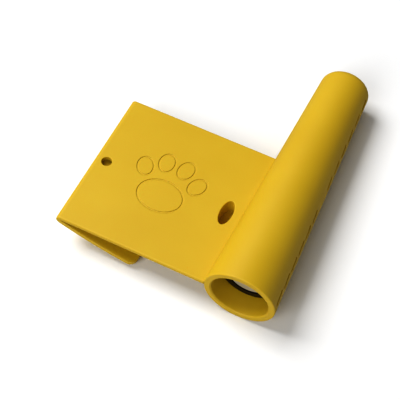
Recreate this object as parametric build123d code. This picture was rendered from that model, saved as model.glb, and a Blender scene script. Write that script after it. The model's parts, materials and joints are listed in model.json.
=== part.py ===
"""Clip-on microchip scanner.

A yellow carrier (a tapered tube with a side plate and a folded spring leaf) holds a round reader
wand. The wand slides out of the tube's mouth, its tail cap turns off for the battery, and a button
in the cap starts a scan.

Carrier axes while modelling, in millimetres: origin at the middle of the tube's mouth, +Y along the
tube towards its closed end, -X towards the plate, +Z out of the plate's upper face. At the end the
whole part is laid on its resting surface, z = 0, with the origin under the middle of its box.
"""
from build123d import *
import math
import os

# ---- Tube of the carrier -------------------------------------------------------------------------
tube_length = 134.5
tube_mouth_r = 17.0
tube_end_r = 12.5
tube_wall = 3.3
tube_end_wall = 3.3
tube_end_round = 4.5
rim_round = 0.6
bore_end_round = 2.0

# ---- Plate and spring leaf -----------------------------------------------------------------------
plate_reach = 91.1          # from the tube's axis to the outer side of the fold
plate_width = 75.7          # along the tube
plate_thickness = 2.2
plate_top = 1.1             # upper face above the tube's axis
plate_edge_round = 0.7
plate_under_round = 0.3
tongue_thickness = 1.4      # the plate's tongue, welded into the tube's wall
tongue_depth = 1.2
tongue_inset = 2.0          # from each end of the plate
tongue_root = 1.0           # inside the plate, outside the tube's mouth radius
leaf_thickness = 2.5
leaf_end_x = -51.5
leaf_root_slope = 22.0      # degrees below the plate, where the leaf leaves the fold
leaf_corner_round = 4.0
fold_round = 2.9            # outer radius of the fold's lower half
fold_depth = 2.3            # solid plastic behind the inner end of the belt gap
fold_clearance = 0.06

# ---- Holes and marks in the carrier --------------------------------------------------------------
hang_hole_r = 2.5
hang_hole_edge = 6.2        # centre of the hole from the outer side of the fold
strap_slot_length = 13.6
strap_slot_width = 6.0
strap_slot_x = -22.9
hole_lip = 0.3              # soft edge of the hole and the slot
hole_line_shift = 0.7       # of the hole and the slot, from the plate's middle towards the mouth
well_wall = 1.3             # the closed well that backs the slot
well_floor = 1.2
well_drop = 8.0             # outside of the well's floor below the plate
mark_x = -54.0
mark_depth = 0.3
mark_line = 0.9
mark_pad = (11.5, 9.0)      # half width and half height of the paw's large pad
mark_pad_drop = 6.5
mark_toe = (4.3, 5.6)
mark_toe_places = ((13.5, 5.5, 24.0), (5.0, 11.5, 8.0))     # across, up and lean, on both sides
notch_groups = ((6.2, 9.1, 6), (72.2, 10.3, 6))     # first place, pitch and count
notch_size = (7.8, 1.4)     # along the tube and round it
notch_depth = 1.0
notch_end_round = 0.6
notch_angle = 15.0          # degrees round the tube from its outer side
notch_lean = 10.0           # degrees, far end towards the plate's upper face

# ---- Reader wand ---------------------------------------------------------------------------------
wand_clearance = 0.35
wand_recess = 10.0          # from the tube's mouth to the wand's tail face
wand_end_gap = 0.7
wand_wall = 1.6
nose_pad_thickness = 4.0
nose_pad_round = 2.0
nose_spigot_length = 3.3
nose_spigot_wall = 1.2
ring_section_r = 0.55
ring_running_gap = 0.08
ring_places = (36.0, 112.0)

# ---- Tail cap and button -------------------------------------------------------------------------
cap_length = 10.0
cap_gap = 0.3
cap_running_gap = 0.08
cap_edge_round = 0.5
socket_r = 10.9
socket_depth = 11.0
spigot_length = 9.8
spigot_wall = 1.8
cap_seal_r = 0.5
cap_seal_gap = 0.05
cap_seal_inset = 2.5        # from the spigot's end
lug_depth = 0.6
lug_length = 2.0
lug_place = 2.0             # from the cap's shoulder to the lug
lug_half_angle = 15.0
lug_entry_angle = 2.0       # room on each side of a lug in its entry slot
lug_root = 0.5
lug_clearance = 0.25
cap_turn = 60.0             # degrees from locked to free
button_r = 9.65
button_gap = 0.3
button_sink = 0.4
button_edge_round = 0.5
button_dish_r = 40.0
button_dish_depth = 0.35
flange_step = 1.05
flange_thickness = 1.2
flange_gap = 0.3
retainer_thickness = 1.6
retainer_width = 2.1
pocket_depth = 6.0
web_thickness = 2.2
stem_r = 2.5
stem_gap = 0.3
stem_reach = 0.2            # stem end past the web, with the button at rest
stem_seal_r = 0.7
stem_seal_gap = 0.1
button_travel = 1.2
switch_touch = 0.05
button_spring_r = 5.2
button_spring_wire = 0.5
button_spring_turns = 2.5
spring_seat_gap = 0.02

# ---- Electronics ---------------------------------------------------------------------------------
switch_body = 6.0
switch_height = 3.5
plunger_r = 1.7
plunger_height = 0.9
board_thickness = 1.0
led_size = (1.6, 0.8, 0.7)
led_circle_r = 5.6
led_count = 3
cell_r = 5.25
cell_length = 44.5
cell_drop = 2.6
cell_button_r = 1.9
cell_button_height = 1.0
cell_edge_round = 0.4
cell_play = 0.1
cell_tube_wall = 0.9
cell_spring_length = 5.2
cell_spring_wire = 0.6
cell_spring_edge = 0.1      # from the spring's outer side to the cell's upper side
cell_spring_turns = 4
contact_thickness = 0.4
contact_corner_gap = 0.12   # from the contact's corners to the cell's tube
bulkhead = 1.6
deck_thickness = 1.2
deck_half_width = 6.4
deck_rise = 0.6             # above the cell's tube
chassis_gap = 0.5
board_half_width = 6.0
board_length = 46.0
board_overhang = 1.0        # past the bulkhead
post_height = 0.8
post_r = 1.5
screw_r = 0.8
screw_head_r = 1.35
screw_head_height = 0.8
screw_bite = 0.8            # share of the deck that the screw goes through
screw_slot = 0.4
screw_inset = (2.4, 2.6)    # from the board's long side and from its end
chip_sizes = ((0.45, 5.0, 5.0, 0.9), (0.62, 4.0, 3.0, 1.0))     # place, across, along, height
small_part = (0.8, 1.6, 0.6)
small_part_rows = (0.36, 0.55)
small_part_columns = (-3.6, -1.2, 1.2, 3.6)
radio_place = 0.8
radio_base = (7.0, 9.0, 0.8)
radio_shield = (6.0, 6.0, 0.8)
radio_shield_round = 0.6
buzzer_place = 0.18
buzzer_r = 3.6
buzzer_height = 2.0
buzzer_port_r = 0.6
ferrite_r = 3.4
ferrite_length = 36.0
ferrite_gap = 0.3           # between the rod's free end and the chassis
ferrite_nose_gap = 1.5
bobbin_wall = 0.6
bobbin_flange = 1.2
bobbin_flange_r = 6.6
coil_thickness = 1.3
coil_margin = 3.0           # ferrite that shows past each end of the bobbin
over = 1.0                  # how far a cutting tool runs past the face it cuts

# ---- Values that follow --------------------------------------------------------------------------
taper = (tube_mouth_r - tube_end_r) / tube_length
rest_pitch = math.degrees(math.atan(taper))
plate_bottom = plate_top - plate_thickness
plate_mid_y = plate_width / 2
hole_line_y = plate_mid_y - hole_line_shift
fold_x = -plate_reach
fold_centre_x = fold_x + fold_round
fold_top_round = plate_thickness - 0.05
hang_hole_x = fold_x + hang_hole_edge
bore_end = tube_length - tube_end_wall
wand_tail = wand_recess
wand_nose = bore_end - wand_end_gap
cap_shoulder = wand_tail + cap_length
housing_tail = cap_shoulder + cap_gap
socket_end = housing_tail + socket_depth
housing_nose = wand_nose - nose_pad_thickness
spigot_r = socket_r - cap_running_gap
spigot_end = cap_shoulder + spigot_length
pocket_r = button_r + flange_step + button_gap
flange_r = button_r + flange_step
button_face = wand_tail + button_sink
flange_front = wand_tail + retainer_thickness + flange_gap
flange_back = flange_front + flange_thickness
web_front = wand_tail + pocket_depth
web_back = web_front + web_thickness
stem_end = web_back + stem_reach
plunger_tip = stem_end + button_travel + switch_touch
switch_back = plunger_tip + plunger_height + switch_height
switch_board_back = switch_back + board_thickness
switch_board_r = spigot_r - spigot_wall
cell_tail = switch_board_back + cell_spring_length
cell_nose = cell_tail + cell_length
cell_spring_r = cell_r - cell_drop - cell_spring_wire / 2 - cell_spring_edge
cell_tube_r = cell_r + cell_play
cell_tube_outer = cell_tube_r + cell_tube_wall
contact_half_width = (cell_tube_r - contact_corner_gap) / math.sqrt(2)
contact_back = cell_nose + cell_button_height + contact_thickness
bulkhead_end = contact_back + bulkhead
deck_top = cell_tube_outer - cell_drop + deck_rise
board_bottom = deck_top + post_height
board_top = board_bottom + board_thickness
board_end = bulkhead_end + board_overhang
board_start = board_end - board_length
ferrite_end = housing_nose - ferrite_nose_gap
ferrite_start = ferrite_end - ferrite_length
bobbin_start = ferrite_start + coil_margin
bobbin_end = ferrite_end - coil_margin


def tube_r(y):
    return tube_mouth_r - taper * y


def bore_r(y):
    return tube_r(y) - tube_wall


def wand_r(y):
    return bore_r(y) - wand_clearance


def hollow_r(y):
    return wand_r(y) - wand_wall


def turned(points, rounds=None):
    """A solid turned about the tube's axis from (radius, y) points; rounds maps a point to a radius."""
    profile = Polygon(*points, align=None)
    for index, radius in (rounds or {}).items():
        corner = Vector(*points[index])
        profile = fillet(profile.vertices().sort_by_distance(corner)[0], radius)
    return revolve(profile, Axis.Y)


def disc(radius, start, end):
    """A round plug on the tube's axis from y = start to y = end."""
    return Pos(0, start, 0) * Rot(-90, 0, 0) * Cylinder(
        radius, end - start, align=(Align.CENTER, Align.CENTER, Align.MIN))


def ring(outer, inner, start, end):
    return disc(outer, start, end) - disc(inner, start - over, end + over)


def post(radius, height, x, y, z):
    """A round post that stands on z."""
    return Pos(x, y, z) * Cylinder(radius, height, align=(Align.CENTER, Align.CENTER, Align.MIN))


def hoop(major, minor, y):
    """A ring of round section, such as an O-ring, at y."""
    return Pos(0, y, 0) * Rot(90, 0, 0) * Torus(major, minor)


def coil_spring(radius, wire, start, end, turns):
    """A helical spring along the tube's axis, clear of both of its seats by a hair."""
    height = end - start - wire - 2 * spring_seat_gap
    path = Helix(height / turns, height, radius)
    section = Plane(origin=path @ 0, z_dir=path % 0) * Circle(wire / 2)
    coil = sweep(section, path, is_frenet=True)
    return Pos(0, start + wire / 2 + spring_seat_gap, 0) * Rot(-90, 0, 0) * coil


def slab(x_range, y_range, z_range):
    size = [high - low for low, high in (x_range, y_range, z_range)]
    return Pos(x_range[0], y_range[0], z_range[0]) * Box(*size, align=Align.MIN)


# ---- Carrier -------------------------------------------------------------------------------------

def weld_tongue():
    """The plate's edge that is sunk into the tube's wall, to one depth all along the taper."""
    low = (plate_top + plate_bottom - tongue_thickness) / 2
    root = -(tube_mouth_r + tongue_root)
    near = tongue_inset
    far = plate_width - tongue_inset
    outline = Polygon((root, near), (tongue_depth - tube_r(near), near),
                      (tongue_depth - tube_r(far), far), (root, far), align=None)
    return extrude(Pos(0, 0, low) * outline, tongue_thickness)


def flank_notches():
    """Two groups of short slanted grip grooves along the tube's outer side, with a blank between."""
    places = [first + index * pitch for first, pitch, count in notch_groups for index in range(count)]
    cutter = Box(notch_depth * 2, *notch_size)
    cutter = fillet(cutter.edges().filter_by(Axis.X), notch_end_round)
    lean = Rot(0, 0, rest_pitch) * Rot(notch_lean, 0, 0)
    cutters = []
    for y in places:
        seat = Rot(0, -notch_angle, 0) * Pos(tube_r(y), y, 0)
        cutters.append(seat * lean * cutter)
    return cutters


def make_tube_sleeve():
    body = turned([(0, 0), (tube_mouth_r, 0), (tube_end_r, tube_length), (0, tube_length)],
                  {1: rim_round, 2: tube_end_round})
    bore = turned([(0, -over), (bore_r(-over), -over), (bore_r(bore_end), bore_end), (0, bore_end)],
                  {2: bore_end_round})
    lead_in = turned([(0, -over), (bore_r(0) + rim_round + over, -over), (bore_r(0), rim_round),
                      (0, rim_round)])
    body = body - bore - lead_in - weld_tongue()
    for cutter in flank_notches():
        body -= cutter
    return body


def paw_mark():
    """A plain paw outline: one large pad and four toes, drawn as shallow grooves."""
    shapes = [(0.0, -mark_pad_drop, mark_pad, 0.0)]
    for x, y, lean in mark_toe_places:
        for side in (-1, 1):
            shapes.append((side * x, y, mark_toe, -side * lean))
    grooves = []
    for x, y, (half_x, half_y), lean in shapes:
        outline = Ellipse(half_x, half_y) - Ellipse(half_x - mark_line, half_y - mark_line)
        seat = Pos(mark_x + x, plate_mid_y + y, plate_top - mark_depth) * Rot(0, 0, lean)
        grooves.append(extrude(seat * outline, mark_depth + over))
    return grooves


def make_clip_plate():
    """The flat plate, rounded over at the fold and shaped to the tube, with its hole and slot.

    A closed well backs the slot.
    """
    plate = slab((fold_x, 0), (0, plate_width), (plate_bottom, plate_top))
    fold_edge = plate.edges().filter_by(Axis.Y).group_by(Axis.X)[0].sort_by(Axis.Z)[-1]
    plate = fillet(fold_edge, fold_top_round)
    plate = fillet(plate.edges().filter_by(Axis.X).group_by(Axis.Z)[-1], plate_edge_round)
    plate = fillet(plate.edges().filter_by(Axis.X).group_by(Axis.Z)[0], plate_under_round)
    plate -= post(hang_hole_r, plate_thickness + 2 * over, hang_hole_x, hole_line_y, plate_bottom - over)
    well = Ellipse(strap_slot_width / 2 + well_wall, strap_slot_length / 2 + well_wall)
    plate += extrude(Pos(strap_slot_x, hole_line_y, plate_bottom - well_drop) * well, well_drop + over)
    slot = Ellipse(strap_slot_width / 2, strap_slot_length / 2)
    slot_seat = Pos(strap_slot_x, hole_line_y, plate_bottom - well_drop + well_floor)
    plate -= extrude(slot_seat * slot, well_drop + plate_thickness + over)
    for x in (hang_hole_x, strap_slot_x):
        middle = Vector(x, hole_line_y, plate_top)
        lip = [edge for edge in plate.faces().sort_by(Axis.Z)[-1].inner_wires().edges()
               if (edge.bounding_box().center() - middle).length < hang_hole_r]
        plate = fillet(lip, hole_lip)
    tube_body = turned([(0, -over), (tube_r(-over), -over), (tube_r(tube_length), tube_length),
                        (0, tube_length)])
    plate -= tube_body
    plate -= slab((-over, tube_mouth_r * 2), (-over, plate_width + over),
                  (plate_bottom - over, plate_top + over))
    plate += weld_tongue()
    for groove in paw_mark():
        plate -= groove
    return plate


def make_clip_leaf():
    """The leaf folded back under the plate: the fold's lower half, then a slightly bowed strip."""
    slope = math.radians(leaf_root_slope)
    root = Vector(fold_centre_x - fold_round * math.sin(slope),
                  plate_bottom - fold_round * math.cos(slope))
    # The leaf's lower end corner and the tube's side rest on one surface.
    tip = Vector(leaf_end_x, -(tube_mouth_r - plate_width * taper))
    along = Vector(math.cos(slope), -math.sin(slope))
    inward = Vector(math.sin(slope), math.cos(slope))
    chord = tip - root
    bow_r = chord.length ** 2 / (2 * chord.dot(inward))
    bow_centre = root + inward * bow_r
    tip_inward = (bow_centre - tip).normalized()
    root_in = root + inward * leaf_thickness
    tip_in = tip + tip_inward * leaf_thickness
    seam = plate_bottom - fold_clearance
    fold_start = Vector(fold_x, seam)
    gap_end = Vector(fold_x + fold_depth, seam)
    middle = math.radians(45 + leaf_root_slope / 2)
    fold_middle = Vector(fold_centre_x - fold_round * math.sin(middle),
                         plate_bottom - fold_round * math.cos(middle))
    outline = [
        ThreePointArc(fold_start, fold_middle, root),
        TangentArc(root, tip, tangent=along),
        Line(tip, tip_in),
        TangentArc(root_in, tip_in, tangent=along),
        Line(root_in, gap_end),
        Line(gap_end, fold_start),
    ]
    profile = make_face(outline)
    leaf = extrude(Plane.XZ.offset(-plate_width) * profile, plate_width)
    upright = [edge for edge in leaf.edges() if edge.length < leaf_thickness * 1.5]
    corners = ShapeList(upright).sort_by(Axis.X)[-2:]
    return fillet(corners, leaf_corner_round)


# ---- Wand housing --------------------------------------------------------------------------------

def ring_major(y):
    """Centre-line radius of an O-ring that runs in the tube's bore."""
    return bore_r(y) - ring_running_gap - ring_section_r


def make_wand_housing():
    body = turned([(0, housing_tail), (wand_r(housing_tail), housing_tail),
                   (wand_r(housing_nose), housing_nose), (0, housing_nose)])
    body -= disc(socket_r, housing_tail - over, socket_end)
    hollow_end = housing_nose + over
    body -= turned([(0, socket_end - over), (hollow_r(socket_end), socket_end - over),
                    (hollow_r(socket_end), socket_end), (hollow_r(hollow_end), hollow_end),
                    (0, hollow_end)])
    groove_start = cap_shoulder + lug_place - lug_clearance
    groove_end = cap_shoulder + lug_place + lug_length + lug_clearance
    groove_r = spigot_r + lug_depth + lug_clearance
    bayonet = disc(groove_r, groove_start, groove_end)
    for side in (0, 180):
        entry = lug_sector(groove_r, socket_r / 2, housing_tail - over, groove_end,
                           lug_half_angle + lug_entry_angle)
        bayonet += Rot(0, side + cap_turn, 0) * entry
    body -= bayonet
    for y in ring_places:
        floor_r = ring_major(y) - ring_section_r
        body -= ring(wand_r(y) + over, floor_r, y - ring_section_r, y + ring_section_r)
    return body


def lug_sector(outer, inner, start, end, half_angle):
    """Part of a ring, half_angle degrees to each side of +X."""
    reach = outer * 2
    spread = reach * math.tan(math.radians(half_angle))
    outline = Polygon((0, 0), (reach, -spread), (reach, spread), align=None)
    wedge = extrude(Plane.XZ.offset(-end) * outline, end - start)
    return ring(outer, inner, start, end) & wedge


def make_slide_rings():
    return [hoop(ring_major(y), ring_section_r, y) for y in ring_places]


def make_nose_pad():
    spigot_outer = hollow_r(housing_nose)
    pad = turned([(0, housing_nose), (wand_r(housing_nose), housing_nose),
                  (wand_r(wand_nose), wand_nose), (0, wand_nose)], {2: nose_pad_round})
    return pad + ring(spigot_outer, spigot_outer - nose_spigot_wall,
                      housing_nose - nose_spigot_length, housing_nose)


# ---- Tail cap ------------------------------------------------------------------------------------

def cap_seal_y():
    return spigot_end - cap_seal_inset


def make_tail_cap():
    body = turned([(0, wand_tail), (wand_r(wand_tail), wand_tail),
                   (wand_r(cap_shoulder), cap_shoulder), (0, cap_shoulder)], {1: cap_edge_round})
    body += disc(spigot_r, cap_shoulder, spigot_end)
    body -= disc(pocket_r, wand_tail + retainer_thickness, web_front)
    retainer_r = button_r + button_gap + retainer_width
    body -= disc(retainer_r, wand_tail - over, wand_tail + retainer_thickness)
    body -= disc(switch_board_r, web_back, spigot_end + over)
    body -= disc(stem_r + stem_gap, web_front - over, web_back + over)
    seal_middle = (web_front + web_back) / 2
    body -= disc(stem_r + stem_seal_gap + 2 * stem_seal_r, seal_middle - stem_seal_r,
                 seal_middle + stem_seal_r)
    seal_floor = socket_r - cap_seal_gap - 2 * cap_seal_r
    body -= ring(spigot_r + over, seal_floor, cap_seal_y() - cap_seal_r, cap_seal_y() + cap_seal_r)
    start = cap_shoulder + lug_place
    for side in (0, 180):
        lug = lug_sector(spigot_r + lug_depth, spigot_r - lug_root, start, start + lug_length,
                         lug_half_angle)
        body += Rot(0, side, 0) * lug
    return body


def make_cap_seal():
    return hoop(socket_r - cap_seal_gap - cap_seal_r, cap_seal_r, cap_seal_y())


def make_button_retainer():
    outer = button_r + button_gap + retainer_width
    return ring(outer, button_r + button_gap, wand_tail, wand_tail + retainer_thickness)


def make_power_button():
    face = turned([(0, button_face), (button_r, button_face), (button_r, flange_front),
                   (0, flange_front)], {1: button_edge_round})
    body = face + disc(flange_r, flange_front, flange_back)
    body += disc(stem_r, flange_back, stem_end)
    dish = Pos(0, button_face - button_dish_r + button_dish_depth, 0) * Sphere(button_dish_r)
    return body - dish


def make_stem_seal():
    return hoop(stem_r + stem_seal_gap + stem_seal_r, stem_seal_r, (web_front + web_back) / 2)


def make_button_spring():
    return coil_spring(button_spring_r, button_spring_wire, flange_back, web_front, button_spring_turns)


def make_tact_switch():
    half = switch_body / 2
    body_front = plunger_tip + plunger_height
    body = slab((-half, half), (body_front, switch_back), (-half, half))
    return body + disc(plunger_r, plunger_tip, body_front)


def make_switch_board():
    return disc(switch_board_r, switch_back, switch_board_back)


def make_status_leds():
    """Small lamps on the switch board that glow through the button."""
    across, along, height = led_size
    led = Box(across, height, along)
    leds = []
    for index in range(led_count):
        angle = 90 + index * 360 / led_count
        leds.append(Rot(0, angle, 0) * Pos(led_circle_r, switch_back - height / 2, 0) * led)
    return leds


def make_cell_spring():
    return coil_spring(cell_spring_r, cell_spring_wire, switch_board_back, cell_tail, cell_spring_turns)


# ---- Inside the wand -----------------------------------------------------------------------------

def make_battery():
    cell = Pos(0, 0, -cell_drop) * disc(cell_r, cell_tail, cell_nose)
    cell = fillet(cell.edges(), cell_edge_round)
    return cell + Pos(0, 0, -cell_drop) * disc(cell_button_r, cell_nose, cell_nose + cell_button_height)


def make_battery_contact():
    half = contact_half_width
    start = cell_nose + cell_button_height
    return slab((-half, half), (start, contact_back), (-cell_drop - half, -cell_drop + half))


def make_chassis():
    """A tube for the cell with a deck on top that carries the reader board."""
    start = socket_end + chassis_gap
    outer = Pos(0, 0, -cell_drop) * disc(cell_tube_outer, start, bulkhead_end)
    deck = slab((-deck_half_width, deck_half_width), (start, bobbin_start),
                (deck_top - deck_thickness, deck_top))
    body = outer + deck
    body -= Pos(0, 0, -cell_drop) * disc(cell_tube_r, start - over, contact_back)
    body -= disc(ferrite_r + ferrite_gap, ferrite_start - ferrite_gap, bobbin_start + over)
    depth = post_height + deck_thickness * screw_bite
    for x, y in screw_places():
        body += post(post_r, post_height, x, y, deck_top)
    for x, y in screw_places():
        body -= post(screw_r, depth + over, x, y, board_bottom - depth)
    return body


def screw_places():
    x = board_half_width - screw_inset[0]
    ends = (board_start + screw_inset[1], board_end - screw_inset[1])
    return [(side * x, y) for side in (-1, 1) for y in ends]


def make_reader_board():
    board = slab((-board_half_width, board_half_width), (board_start, board_end),
                 (board_bottom, board_top))
    for x, y in screw_places():
        board -= post(screw_r, board_thickness + 2 * over, x, y, board_bottom - over)
    return board


def make_board_screws():
    depth = board_thickness + post_height + deck_thickness * screw_bite
    slot = Box(screw_slot, screw_head_r * 3, screw_slot * 2)
    screws = []
    for x, y in screw_places():
        head = post(screw_head_r, screw_head_height, x, y, board_top)
        head -= Pos(x, y, board_top + screw_head_height) * slot
        screws.append(head + post(screw_r, depth, x, y, board_top - depth))
    return screws


def board_place(share):
    """A place along the board, as a share of the length between its screws."""
    return board_start + screw_inset[1] + share * (board_length - 2 * screw_inset[1])


def make_board_chips():
    """The reader chip, its driver and the small parts round them."""
    chips = []
    for share, across, along, height in chip_sizes:
        chips.append(Pos(0, board_place(share), board_top + height / 2) * Box(across, along, height))
    for share in small_part_rows:
        for x in small_part_columns:
            chips.append(Pos(x, board_place(share), board_top + small_part[2] / 2) * Box(*small_part))
    return chips


def make_radio_module():
    base_top = board_top + radio_base[2]
    base = Pos(0, board_place(radio_place), board_top + radio_base[2] / 2) * Box(*radio_base)
    shield = fillet(Box(*radio_shield).edges().filter_by(Axis.Z), radio_shield_round)
    shield_y = board_place(radio_place) - (radio_base[1] - radio_shield[1]) / 3
    return base + Pos(0, shield_y, base_top + radio_shield[2] / 2) * shield


def make_buzzer():
    y = board_place(buzzer_place)
    body = post(buzzer_r, buzzer_height, 0, y, board_top)
    return body - post(buzzer_port_r, buzzer_height, 0, y, board_top + buzzer_height * 0.75)


def make_ferrite_rod():
    return disc(ferrite_r, ferrite_start, ferrite_end)


def make_coil_bobbin():
    core_r = ferrite_r + bobbin_wall
    body = disc(core_r, bobbin_start, bobbin_end)
    body += disc(bobbin_flange_r, bobbin_start, bobbin_start + bobbin_flange)
    body += disc(bobbin_flange_r, bobbin_end - bobbin_flange, bobbin_end)
    return body - disc(ferrite_r, bobbin_start - over, bobbin_end + over)


def make_antenna_coil():
    core_r = ferrite_r + bobbin_wall
    return ring(core_r + coil_thickness, core_r, bobbin_start + bobbin_flange, bobbin_end - bobbin_flange)


MAKERS = {
    "tube_sleeve": make_tube_sleeve,
    "clip_plate": make_clip_plate,
    "clip_leaf": make_clip_leaf,
    "wand_housing": make_wand_housing,
    "slide_rings": make_slide_rings,
    "nose_pad": make_nose_pad,
    "chassis": make_chassis,
    "battery": make_battery,
    "battery_contact": make_battery_contact,
    "reader_board": make_reader_board,
    "board_chips": make_board_chips,
    "board_screws": make_board_screws,
    "radio_module": make_radio_module,
    "buzzer": make_buzzer,
    "ferrite_rod": make_ferrite_rod,
    "coil_bobbin": make_coil_bobbin,
    "antenna_coil": make_antenna_coil,
    "tail_cap": make_tail_cap,
    "cap_seal": make_cap_seal,
    "button_retainer": make_button_retainer,
    "switch_board": make_switch_board,
    "tact_switch": make_tact_switch,
    "status_leds": make_status_leds,
    "stem_seal": make_stem_seal,
    "cell_spring": make_cell_spring,
    "power_button": make_power_button,
    "button_spring": make_button_spring,
}


def as_one(shape):
    """A node's solids as one shape, whether its maker gave one solid or several."""
    if isinstance(shape, (list, tuple)):
        return Compound(children=[piece.solid() for piece in shape])
    return shape


def resting_place(shapes):
    """Pitch the part so that the tube's side lies flat, then put the origin under its middle."""
    pitch = Rot(-rest_pitch, 0, 0)
    box = Compound(children=[pitch * shape for shape in shapes]).bounding_box()
    middle = box.center()
    return Pos(-middle.X, -middle.Y, -box.min.Z) * pitch


def make_all():
    return {node: as_one(maker()) for node, maker in MAKERS.items()}


if __name__ == "__main__":
    nodes = make_all()
    place = resting_place([nodes["tube_sleeve"], nodes["clip_plate"], nodes["clip_leaf"]])
    os.makedirs("parts", exist_ok=True)
    for node, shape in nodes.items():
        export_step(place * shape, f"parts/{node}.step")
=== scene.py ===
# %% [markdown]
# # A clip-on microchip scanner
#
# The object is a yellow moulded carrier: a tapered tube, a flat plate beside it and a spring leaf
# folded back under the plate. A round reader wand sits in the tube, and its black tail with a grey
# button shows in the mouth.
#
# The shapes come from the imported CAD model, which is the fixed frame that the joints move. The model
# could have been made again in Blender, but the CAD surfaces are already fine enough to shade
# smoothly, so this script keeps them. Only one piece gets a copy, a spring that has to shorten. The
# script gives each piece the finish of the real material, lays the whole thing on a pale floor and
# lights it like a small product studio.

import json
import math

import bpy
from mathutils import Matrix, Vector


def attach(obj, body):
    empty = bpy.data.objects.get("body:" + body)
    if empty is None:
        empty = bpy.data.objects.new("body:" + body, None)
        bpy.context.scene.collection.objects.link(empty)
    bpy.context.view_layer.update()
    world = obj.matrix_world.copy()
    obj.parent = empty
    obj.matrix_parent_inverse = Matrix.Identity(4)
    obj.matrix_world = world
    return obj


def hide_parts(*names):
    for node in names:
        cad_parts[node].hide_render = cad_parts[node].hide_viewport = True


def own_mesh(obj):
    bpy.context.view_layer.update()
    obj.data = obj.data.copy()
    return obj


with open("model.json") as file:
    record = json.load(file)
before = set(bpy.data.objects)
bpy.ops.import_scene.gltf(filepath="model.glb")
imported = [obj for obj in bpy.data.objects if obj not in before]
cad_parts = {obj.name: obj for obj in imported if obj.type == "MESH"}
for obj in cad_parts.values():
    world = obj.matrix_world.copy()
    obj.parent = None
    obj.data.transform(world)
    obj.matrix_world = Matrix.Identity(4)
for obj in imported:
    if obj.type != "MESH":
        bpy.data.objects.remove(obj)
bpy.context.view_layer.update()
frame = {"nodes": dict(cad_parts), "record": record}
nodes = frame["nodes"]
MM = 0.001


print("pieces in the frame:", len(nodes))

# %% [markdown]
# ## Camera
#
# The object is seen from in front, a little to the right and well above, with the tube pointing up
# and to the right. A long lens from half a metre away keeps the tube's own taper from being mixed up
# with perspective. It is easier to think of a camera on an arm than of its three coordinates, so it is
# placed by the point it looks at, by its direction round and above that point, by its distance, and
# by a small roll that tips the view.

# %% Camera
look_at = Vector((0.2, -28.7, 15.7)) * MM
camera_azimuth = 21.53
camera_elevation = 58.84
camera_distance = 449.6 * MM
camera_roll = 4.5
camera_lens = 87.5
camera_sensor = 36.0
camera_near = 10 * MM


def aim(azimuth, elevation):
    """Unit vector from the object towards a viewer; azimuth 0 stands in front, on the -Y side."""
    around = math.radians(azimuth)
    above = math.radians(elevation)
    flat = math.cos(above)
    return Vector((math.sin(around) * flat, -math.cos(around) * flat, math.sin(above)))


def facing(direction, roll=0.0):
    """Rotation that looks back along direction, as a camera or an area light does."""
    turn = direction.to_track_quat("Z", "Y").to_matrix().to_4x4()
    return turn @ Matrix.Rotation(math.radians(roll), 4, "Z")


def place_camera():
    data = bpy.data.cameras.new("camera")
    data.lens = camera_lens
    data.sensor_width = camera_sensor
    data.clip_start = camera_near
    camera = bpy.data.objects.new("camera", data)
    direction = aim(camera_azimuth, camera_elevation)
    camera.matrix_world = (Matrix.Translation(look_at + direction * camera_distance)
                           @ facing(direction, camera_roll))
    bpy.context.scene.collection.objects.link(camera)
    bpy.context.scene.camera = camera
    return camera


print("camera at", [round(value, 3) for value in place_camera().matrix_world.translation])

# %% [markdown]
# ## Colours and nodes
#
# Colours are easiest to choose as sRGB hex values, as on any paint chart, but shaders work in linear
# light. One function turns one into the other. A second adds any shader node, with its settings and
# its inputs, and an input can be a value or the output of an earlier node. With these two a material
# reads as a short recipe.

# %% Helpers for colours and nodes
def linear(hex_colour):
    """An sRGB hex colour as linear red, green, blue and alpha, by the sRGB standard's curve."""
    values = []
    for start in (1, 3, 5):
        value = int(hex_colour[start:start + 2], 16) / 255
        values.append(value / 12.92 if value <= 0.04045 else ((value + 0.055) / 1.055) ** 2.4)
    return (*values, 1.0)


def add(tree, kind, inputs=None, **settings):
    """Adds a node. settings are its own values; inputs maps a socket to a value or to an output."""
    node = tree.nodes.new(kind)
    for name, value in settings.items():
        setattr(node, name, value)
    for name, value in (inputs or {}).items():
        socket = node.inputs[name]
        if isinstance(value, bpy.types.NodeSocket):
            tree.links.new(value, socket)
        else:
            socket.default_value = value
    return node


def new_material(name):
    """An empty material and its node tree."""
    material = bpy.data.materials.new(name)
    material.use_nodes = True
    material.node_tree.nodes.clear()
    return material, material.node_tree


def finish_surface(tree, shader):
    """Ends a recipe: the shader becomes the material's surface."""
    add(tree, "ShaderNodeOutputMaterial", {"Surface": shader.outputs["BSDF"]})


print("middle grey #808080 is", round(linear("#808080")[0], 3), "in linear light")

# %% [markdown]
# ## What every moulded or plated surface shares
#
# No real surface has one flat colour or one gloss. Pigment and mould polish drift slowly over
# centimetres, so `drift` gives a slow cloud between two values, and `two_tones` uses it to wander
# between two close colours. The mould's spark-eroded texture is a fine grain, so `grain` makes a bump
# from noise whose size and depth are given in real millimetres.

# %% Helpers for surface texture
NOISE_SPAN = (0.3, 0.7)     # most of the noise lies between these


def object_place(tree):
    """Where a point is in its piece, in metres, so that textures ride with the piece."""
    return add(tree, "ShaderNodeTexCoord").outputs["Object"]


def drift(tree, size_mm, low, high):
    """A slow change between two values over patches of about size_mm."""
    cloud = add(tree, "ShaderNodeTexNoise", {"Vector": object_place(tree), "Scale": 1 / (size_mm * MM),
                                             "Detail": 2.0})
    span = add(tree, "ShaderNodeMapRange", {
        "Value": cloud.outputs["Fac"], "From Min": NOISE_SPAN[0], "From Max": NOISE_SPAN[1],
        "To Min": low, "To Max": high})
    return span.outputs["Result"]


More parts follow.
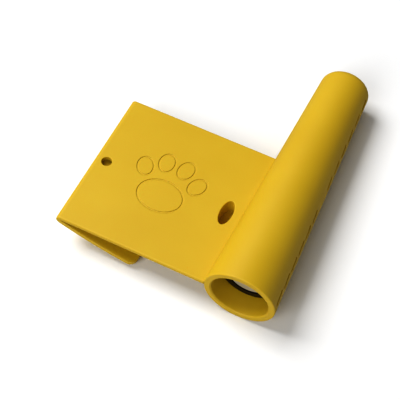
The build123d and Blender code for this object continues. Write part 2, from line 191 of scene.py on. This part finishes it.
def two_tones(tree, size_mm, dark, light):
    """Wanders between two hex colours over patches of about size_mm."""
    ramp = add(tree, "ShaderNodeValToRGB", {"Fac": drift(tree, size_mm, 0.0, 1.0)})
    ramp.color_ramp.elements[0].color = linear(dark)
    ramp.color_ramp.elements[1].color = linear(light)
    return ramp.outputs["Color"]


def grain(tree, size_mm, depth_mm, under=None):
    """Bump from a fine noise, size_mm across and depth_mm deep, over another normal if given."""
    noise = add(tree, "ShaderNodeTexNoise", {"Vector": object_place(tree), "Scale": 1 / (size_mm * MM),
                                             "Detail": 3.0, "Roughness": 0.55})
    inputs = {"Height": noise.outputs["Fac"], "Distance": depth_mm * MM}
    if under is not None:
        inputs["Normal"] = under
    return add(tree, "ShaderNodeBump", inputs).outputs["Normal"]


# %% [markdown]
# ## Yellow moulded ABS
#
# The carrier is injection-moulded ABS, IOR 1.53, with a fine mould texture that gives the eye a soft
# satin. The satin is a roughness near 0.54 and a grain. The real grain is about a tenth of a
# millimetre, too fine to show from half a metre, so it's drawn coarser, at a third of a millimetre.
# The highlight is weaker than that of bare plastic, since the texture scatters part of it. The
# pigment lets light in for about a millimetre, so a short subsurface distance warms the edges.
# Moulding leaves every edge slightly round, and the bevel node rounds the shading of the edges that
# the mesh keeps sharp.

# %% Yellow ABS
ABS_IOR = 1.53
MOULD_EDGE_MM = 0.35
MOULD_GRAIN_MM = 0.35     # coarser than the real tenth of a millimetre, so that it shows
MOULD_GRAIN_DEPTH_MM = 0.012
LIGHT_REACH_MM = 1.2


def satin_yellow_abs():
    material, tree = new_material("satin_yellow_abs")
    soft_edge = add(tree, "ShaderNodeBevel", {"Radius": MOULD_EDGE_MM * MM}, samples=6)
    normal = grain(tree, MOULD_GRAIN_MM, MOULD_GRAIN_DEPTH_MM, soft_edge.outputs["Normal"])
    shader = add(tree, "ShaderNodeBsdfPrincipled", {
        "Base Color": two_tones(tree, size_mm=30.0, dark="#C8A624", light="#CCAB28"),
        "Roughness": drift(tree, size_mm=12.0, low=0.5, high=0.58), "IOR": ABS_IOR,
        "Specular IOR Level": 0.35, "Normal": normal, "Subsurface Weight": 0.08,
        "Subsurface Radius": (1.0, 0.5, 0.1), "Subsurface Scale": LIGHT_REACH_MM * MM})
    finish_surface(tree, shader)
    return material


yellow_abs = satin_yellow_abs()
print(yellow_abs.name, "has a grain of", MOULD_GRAIN_MM, "mm,", MOULD_GRAIN_DEPTH_MM, "mm deep")

# %% [markdown]
# ## The wand and the parts inside it
#
# The wand is black ABS with a satin face, and its button is a grey elastomer that lets the status
# lamps glow through. The electronics are hidden while the wand is closed. They still get real
# finishes, because somebody may take the model apart: nickel on the springs and screws, green solder
# mask, tinned shield, ground ferrite and enamelled copper. All of them share one recipe of two close
# colours, a drifting gloss and a fine grain, so one function makes them all. Their grain too is drawn
# coarser than the real one, so that it shows when a piece is looked at closely.

# %% Plain finishes
COLOUR_PATCH_MM = 8.0
GLOSS_PATCH_MM = 5.0
GLOSS_DRIFT = 0.1     # the roughness wanders by a tenth of itself either way


def plain_finish(name, dark, light, roughness, ior=1.5, metallic=0.0, grain_mm=0.3, depth_mm=0.008):
    """A moulded, ground or plated surface."""
    material, tree = new_material(name)
    shader = add(tree, "ShaderNodeBsdfPrincipled", {
        "Base Color": two_tones(tree, COLOUR_PATCH_MM, dark, light), "Metallic": metallic, "IOR": ior,
        "Normal": grain(tree, grain_mm, depth_mm),
        "Roughness": drift(tree, GLOSS_PATCH_MM, roughness * (1 - GLOSS_DRIFT),
                           roughness * (1 + GLOSS_DRIFT))})
    finish_surface(tree, shader)
    return material


FINISHES = {
    "yellow_plastic": yellow_abs,
    "black_plastic": plain_finish("satin_black_abs", "#0B0B0C", "#101011", 0.38, ABS_IOR),
    "grey_plastic": plain_finish("matte_grey_nylon", "#7F8488", "#8A8F93", 0.55, 1.53),
    "button_grey": plain_finish("satin_grey_elastomer", "#B3AA94", "#BCB39D", 0.5, 1.45),
    "black_rubber": plain_finish("matte_black_nitrile_rubber", "#101010", "#171717", 0.7, 1.52),
    "cell_sleeve": plain_finish("glossy_blue_shrink_film", "#24557F", "#2A6090", 0.25, 1.54),
    "spring_steel": plain_finish("nickel_plated_steel", "#C9C7C2", "#D3D1CC", 0.28, metallic=1.0),
    "circuit_board": plain_finish("glossy_green_solder_mask", "#0C4A26", "#115A2F", 0.3, 1.55),
    "chip_black": plain_finish("matte_moulded_epoxy", "#151516", "#1C1C1D", 0.5, 1.55),
    "shield_metal": plain_finish("tinned_steel_sheet", "#BFC0BE", "#CBCCC9", 0.3, metallic=1.0),
    "ferrite": plain_finish("ground_ferrite", "#2B2B2E", "#343437", 0.6, 2.2, grain_mm=0.15),
    "copper_wire": plain_finish("enamelled_copper_wire", "#B8612C", "#C46C34", 0.3, metallic=1.0),
    "led_lens": plain_finish("clear_epoxy_lens", "#CFE8CF", "#D8F0D8", 0.15, 1.5),
}
print("finishes:", sorted(material.name for material in FINISHES.values()))

# %% [markdown]
# ## One finish for each piece
#
# The record that travels with the CAD model names a material slot for every piece. Reading the slots
# from there keeps the finishes and the record in step, so no piece can be forgotten.

# %% Give the finishes to the pieces
for subpart in frame["record"]["subparts"]:
    mesh = nodes[subpart["node"]].data
    mesh.materials.clear()
    mesh.materials.append(FINISHES[subpart["material_slot"]])

# %% [markdown]
# ## The button's spring
#
# Behind the button sits a short coil of nickel-plated wire, seated on the cap's inner wall. Pressing
# the button shortens it, and the imported piece is rigid, so the button's flange would cut through it.
# A coil could be wound again from a curve, but the imported coil already has the right radius, wire and
# turns. So a copy of its mesh stands for it. It rides with the cap, with a mesh of its own.

# %% Spring that rides with the button's cap
def copied_piece(name, node):
    """A free piece with the same mesh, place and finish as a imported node."""
    piece = bpy.data.objects.new(name, nodes[node].data.copy())
    piece.matrix_world = nodes[node].matrix_world.copy()
    bpy.context.scene.collection.objects.link(piece)
    return piece


def shorten_with(piece):
    """Gives a piece a copy of its own mesh."""
    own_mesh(piece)


spring = copied_piece("button_coil", "button_spring")
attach(spring, "cap")
shorten_with(spring)
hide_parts("button_spring")

# %% [markdown]
# ## Floor
#
# The object lies on plain white paper, rough and almost without gloss. The paper doesn't show in
# glossy reflections: a bright floor mirrored along the tube's flank would grey its yellow, and a
# studio would hold it off with black card for the same reason.

# %% Floor
FLOOR_HALF_WIDTH = 2.0


def pale_floor():
    material, tree = new_material("matte_white_paper")
    shader = add(tree, "ShaderNodeBsdfPrincipled", {"Base Color": linear("#F2F2F2"), "Roughness": 0.9,
                                                    "Specular IOR Level": 0.1})
    finish_surface(tree, shader)
    half = FLOOR_HALF_WIDTH
    corners = [(-half, -half, 0), (half, -half, 0), (half, half, 0), (-half, half, 0)]
    mesh = bpy.data.meshes.new("floor")
    mesh.from_pydata(corners, [], [(0, 1, 2, 3)])
    mesh.materials.append(material)
    floor = bpy.data.objects.new("floor", mesh)
    bpy.context.scene.collection.objects.link(floor)
    floor.visible_glossy = False


pale_floor()
print("floor is", FLOOR_HALF_WIDTH * 2, "m across")

# %% [markdown]
# ## Light
#
# The key is a softbox high on the left and slightly behind. It gives the tube its bright shoulder,
# its darker right side and a soft shadow that falls to the lower right. A second, wider softbox
# stands in front and lower down: it reaches the mouth's rim, the inside of the tube and the gap above
# the leaf. A weak dome stands for the room. The view is developed with more contrast than plain sRGB,
# as catalogue shots are, so that the paper turns pure white.

# %% Lights
def softbox(name, azimuth, elevation, distance, side, power):
    data = bpy.data.lights.new(name, "AREA")
    data.shape = "SQUARE"
    data.size = side
    data.energy = power
    light = bpy.data.objects.new(name, data)
    direction = aim(azimuth, elevation)
    light.matrix_world = Matrix.Translation(direction * distance) @ facing(direction)
    bpy.context.scene.collection.objects.link(light)
    print("softbox", name, "at", azimuth, "degrees round,", elevation, "degrees up,", power, "W")


softbox("key", azimuth=-94, elevation=57, distance=1.2, side=0.6, power=10.0)
softbox("fill", azimuth=-12, elevation=38, distance=1.5, side=0.8, power=7.8)

ROOM_LIGHT = 0.13
world = bpy.data.worlds.new("studio")
world.use_nodes = True
background = world.node_tree.nodes["Background"]
background.inputs["Color"].default_value = linear("#FFFFFF")
background.inputs["Strength"].default_value = ROOM_LIGHT
bpy.context.scene.world = world
bpy.context.scene.view_settings.view_transform = "Standard"
bpy.context.scene.view_settings.look = "High Contrast"
